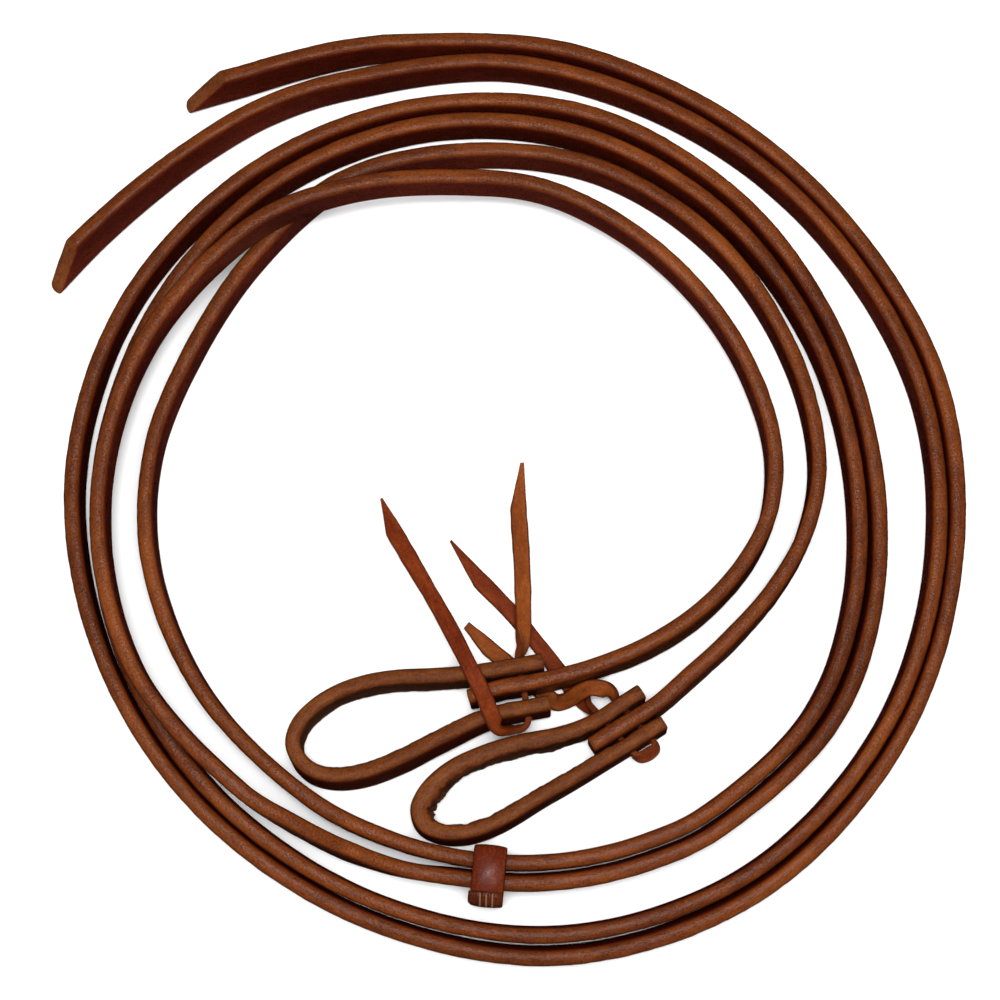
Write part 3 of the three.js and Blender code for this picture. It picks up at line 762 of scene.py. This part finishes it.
def keeper_band():
    rows = keeper_route()
    centre, outward, onward = keeper_axes()
    points = centre + rows[:, :1] * outward + rows[:, 1:] * np.array([0, 0, 1])
    line = Line(points, np.tile(-onward, (len(points), 1)))
    section = outline(KEEPER_WALL, KEEPER_LENGTH, KEEPER_EDGE, 2.4, 26, 8)
    lap = line.length - LAP_LENGTH

    def shape(s, v, u):
        half = KEEPER_LENGTH / 2
        over = np.clip((s - lap) / 0.003, 0, 1)
        over = over * over * (3 - 2 * over)
        thin = 1 - 0.45 * np.clip((s - (line.length - SKIVED)) / SKIVED, 0, 1)
        u = u * (1 + 0.05 * over + 0.012 * wobble(s, 0.007, 700)) + 0.0003 * over
        hollow = v > 0
        v = np.where(hollow, v, v * thin)
        crown = 0.0005 * (1 - (u / half) ** 2)
        v = v - crown + 0.00005 * patches(s, u, 0.003, 701)
        for place in STITCH_PLACES:
            for angle in STITCH_REACH:
                at = lap_place(line, angle)
                dip = np.exp(-((s - at) ** 2 + (u + place) ** 2) / (2 * STITCH_SPREAD**2))
                v = v + np.where(hollow, 0, 0.00028 * dip)
            groove = np.clip((s - lap_place(line, STITCH_REACH[1])) / 0.0003, 0, 1)
            groove = groove * np.clip((lap_place(line, STITCH_REACH[0]) - s) / 0.0003, 0, 1)
            groove = groove * np.exp(-((u + place) ** 2) / (2 * GROOVE_SPREAD**2))
            v = v + np.where(hollow, 0, 0.0001 * groove)
        return s, v, u

    band = sweep("keeper_band", line, section, KEEPER_STEP, shape, KEEPER_EDGE, 0.0003)
    deep = read(band.data)["place"][:, 0] / 1000
    put(band.data, "lap", np.clip((deep - lap) / 0.0015, 0, 1))
    finish_in(band, chestnut)
    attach(band, "keeper")
    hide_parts("keeper")


def lap_place(line, angle):
    """How far along the keeper's strip the shoulder's arc reaches an angle."""
    return line.length - LAP_END - (math.pi / 2 - angle) * BEND


def stitch(number, along):
    """Two waxed plies twisted together, up through the lap, over the shoulder and in at the side."""
    centre, outward, onward = keeper_axes()
    corner = (SLEEVE_OUTER + KEEPER_WALL / 2 - CORNER, SLEEVE_TOP + KEEPER_WALL / 2 - CORNER)
    surface = BEND + KEEPER_WALL / 2 * 0.8 + 0.00048 + 0.00016
    angles = np.linspace(STITCH_REACH[0] + 0.06, STITCH_REACH[1] - 0.06, 60)
    share = np.linspace(0, 1, 60)
    dive = 1 - np.clip(np.minimum(share, 1 - share) / 0.12, 0, 1)
    radius = surface - 0.0011 * dive**2
    x = corner[0] + radius * np.cos(angles)
    z = corner[1] + radius * np.sin(angles)
    slant = along + 0.0002 * (share - 0.5)
    points = centre + x[:, None] * outward + slant[:, None] * onward + z[:, None] * np.array([0, 0, 1])
    line = Line(points, np.tile(onward, (len(points), 1)))
    s = np.linspace(0, line.length, 90)
    middle, normal, across = line.at(s)
    vertices, faces, values = [], [], []
    ring = 10
    for ply in range(2):
        turn = 2 * math.pi * s / PLY_PITCH + math.pi * ply
        core = middle + PLY_OFFSET * (np.cos(turn)[:, None] * normal + np.sin(turn)[:, None] * across)
        first = len(vertices)
        for k in range(len(s)):
            thick = PLY_RADIUS if 0 < k < len(s) - 1 else PLY_TIP
            for m in range(ring):
                angle = 2 * math.pi * m / ring
                out = math.cos(angle) * normal[k] + math.sin(angle) * across[k]
                vertices.append(core[k] + thick * out)
                values.append((s[k] * 1000, angle, ply * 7.0 + number * 3.0))
        for k in range(len(s) - 1):
            for m in range(ring):
                a, b = first + k * ring + m, first + k * ring + (m + 1) % ring
                faces.append((a, b, b + ring, a + ring))
        last = first + (len(s) - 1) * ring
        faces.append(tuple(first + m for m in reversed(range(ring))))
        faces.append(tuple(last + m for m in range(ring)))
    return vertices, faces, values


def keeper_stitches():
    vertices, faces, values = [], [], []
    for number, along in enumerate(STITCH_PLACES):
        more = stitch(number, along)
        faces += [tuple(k + len(vertices) for k in face) for face in more[1]]
        vertices += more[0]
        values += more[2]
    mesh = bpy.data.meshes.new("keeper_stitches")
    mesh.from_pydata([tuple(v) for v in vertices], [], faces)
    mesh.shade_smooth()
    put(mesh, "place", np.array(values))
    thread = bpy.data.objects.new("keeper_stitches", mesh)
    bpy.context.scene.collection.objects.link(thread)
    g = Graph("waxed_thread")
    lint = g.noise(g.attribute("place", "Vector"), 3.0, 3.0, 0.6)
    colour = g.ramp(lint, (0.35, shade(84, 52, 36)), (0.65, shade(128, 92, 70)))
    g.feed(g.shader.inputs["Base Color"], colour)
    g.shader.inputs["Roughness"].default_value = 0.5
    bump = g.node("Bump", {"Height": lint, "Strength": 0.3, "Distance": 0.0001})
    g.feed(g.shader.inputs["Normal"], bump.outputs[0])
    finish_in(thread, g.material)
    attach(thread, "keeper")
    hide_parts("keeper_thread")


keeper_band()
keeper_stitches()


# Room: a pale floor, one broad soft light over the camera, four faint ones round the coil and a small
# overhead one that gives the leather its sheen
def soft_light(name, place, target, size, power, sheen=True):
    data = bpy.data.lights.new(name, "AREA")
    data.shape = "RECTANGLE"
    data.size, data.size_y = size
    data.energy = power
    light = bpy.data.objects.new(name, data)
    light.location = place
    light.rotation_mode = "QUATERNION"
    light.rotation_quaternion = (Vector(target) - Vector(place)).to_track_quat("-Z", "Y")
    light.visible_glossy = sheen
    bpy.context.scene.collection.objects.link(light)


def make_room():
    mesh = bpy.data.meshes.new("floor")
    reach = 8
    corners = [(-reach, -reach, 0), (reach, -reach, 0), (reach, reach, 0), (-reach, reach, 0)]
    mesh.from_pydata(corners, [], [(0, 1, 2, 3)])
    floor = bpy.data.objects.new("floor", mesh)
    bpy.context.scene.collection.objects.link(floor)
    g = Graph("floor")
    g.shader.inputs["Base Color"].default_value = (0.86, 0.86, 0.86, 1)
    g.shader.inputs["Roughness"].default_value = 0.9
    g.shader.inputs["Specular IOR Level"].default_value = 0.0
    mesh.materials.append(g.material)
    floor.visible_glossy = False

    soft_light("light_broad", (0.0, -0.12, 1.3), (0, -0.02, 0), (0.8, 0.7), 24, sheen=False)
    for name, bearing in (("left", 180), ("right", 0), ("front", 270), ("back", 90)):
        angle = math.radians(bearing)
        place = (1.5 * math.cos(angle), 1.5 * math.sin(angle), 1.35)
        soft_light("light_" + name, place, (0, 0, 0), (1.3, 0.9), 3, sheen=False)
    soft_light("light_sheen", (0.0, -0.09, 1.3), (0, -0.11, 0), (0.26, 0.14), 4.8)

    world = bpy.data.worlds.new("room")
    world.use_nodes = True
    background = world.node_tree.nodes["Background"]
    background.inputs["Color"].default_value = (1, 1, 1, 1)
    background.inputs["Strength"].default_value = 0.25
    world.cycles_visibility.glossy = False
    bpy.context.scene.world = world
    bpy.context.scene.view_settings.view_transform = "Standard"


make_room()
